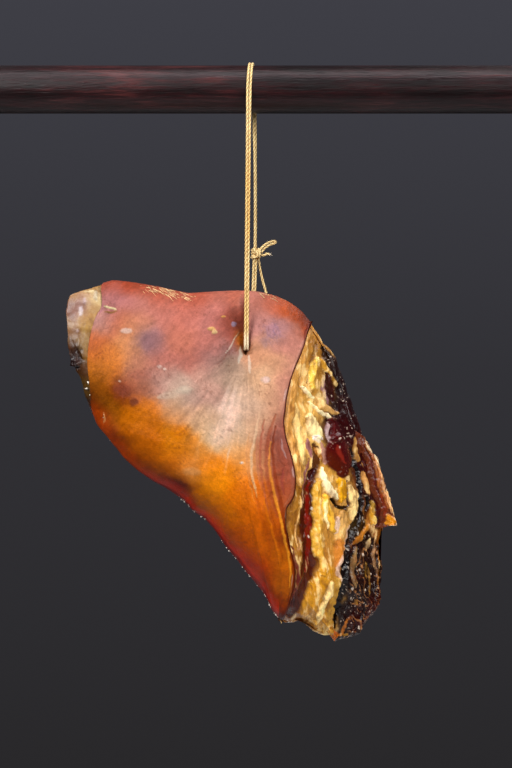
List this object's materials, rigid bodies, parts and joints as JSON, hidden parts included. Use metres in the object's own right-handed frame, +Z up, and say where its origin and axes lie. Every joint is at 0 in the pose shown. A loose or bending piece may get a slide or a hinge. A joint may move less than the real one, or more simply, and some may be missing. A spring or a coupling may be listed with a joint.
{
  "type": "ham holder stand",
  "caption": "Free-standing dark wood trestle with a round cross rail, and a smoked bone-in ham hung from the rail in a loop of knotted twine.",
  "frame": {"origin": "on the table, in the middle of the stand's footprint", "axes": "+Z up, +X along the rail to the right of someone who faces the ham's rind, -Y towards that person"},
  "size_m": [0.842, 0.36, 0.839],
  "materials": {
    "dark_wood": "satin",
    "peg_wood": "satin",
    "rubber_pad": "matte",
    "twine": "matte",
    "rind": "satin",
    "fat": "satin",
    "lean": "gloss",
    "bone": "matte"
  },
  "bodies": {
    "stand": {"left_post": "dark_wood", "left_foot": "dark_wood", "left_wedge": "peg_wood", "left_draw_peg": "peg_wood", "left_front_foot_pad": "rubber_pad", "left_back_foot_pad": "rubber_pad", "right_post": "dark_wood", "right_foot": "dark_wood", "right_wedge": "peg_wood", "right_draw_peg": "peg_wood", "right_front_foot_pad": "rubber_pad", "right_back_foot_pad": "rubber_pad", "stretcher": "dark_wood"},
    "rail": {"rail": "dark_wood"},
    "left_rail_peg": {"left_rail_peg": "peg_wood"},
    "right_rail_peg": {"right_rail_peg": "peg_wood"},
    "saddle": {"twine_saddle_a": "twine", "twine_saddle_b": "twine"},
    "shoulders": {"twine_front_shoulder_a": "twine", "twine_front_shoulder_b": "twine", "twine_back_shoulder_a": "twine", "twine_back_shoulder_b": "twine"},
    "loop": {"twine_run_a": "twine", "twine_run_b": "twine", "twine_back_strand_a": "twine", "twine_back_strand_b": "twine", "twine_knot": "twine", "twine_upper_tail": "twine", "twine_short_tail": "twine", "twine_long_tail": "twine"},
    "ham": {"ham_rind": "rind", "ham_fat_layer": "fat", "ham_core_muscle": "lean", "ham_inside_muscle": "lean", "ham_hock_stub": "fat", "ham_crust_flap": "lean", "ham_shank_bone": "bone", "ham_thigh_bone": "bone"}
  },
  "joints": [
    {"name": "rail_turn", "type": "hinge", "parent": "stand", "child": "rail", "pos_m": [0, 0, 0.8], "axis": [1, 0, 0], "continuous": true},
    {"name": "left_rail_peg_pull", "type": "slide", "parent": "rail", "child": "left_rail_peg", "axis": [0, 0, 1], "range_m": [0, 0.07]},
    {"name": "right_rail_peg_pull", "type": "slide", "parent": "rail", "child": "right_rail_peg", "axis": [0, 0, 1], "range_m": [0, 0.07]},
    {"name": "loop_slide", "type": "slide", "parent": "stand", "child": "saddle", "axis": [1, 0, 0], "range_m": [-0.08, 0.08]},
    {"name": "fore_aft_swing", "type": "hinge", "parent": "saddle", "child": "shoulders", "pos_m": [-0.0077, 0, 0.8], "axis": [1, 0, 0], "range_deg": [-25, 25], "deforming": ["twine_saddle_a", "twine_saddle_b"]},
    {"name": "side_swing", "type": "hinge", "parent": "shoulders", "child": "loop", "pos_m": [-0.0077, 0, 0.8], "axis": [0, 1, 0], "range_deg": [-8, 8], "deforming": ["twine_front_shoulder_a", "twine_front_shoulder_b", "twine_back_shoulder_a", "twine_back_shoulder_b"]},
    {"name": "ham_tilt", "type": "hinge", "parent": "loop", "child": "ham", "pos_m": [-0.0077, 0, 0.555], "axis": [0, 1, 0], "range_deg": [-10, 10]}
  ]
}
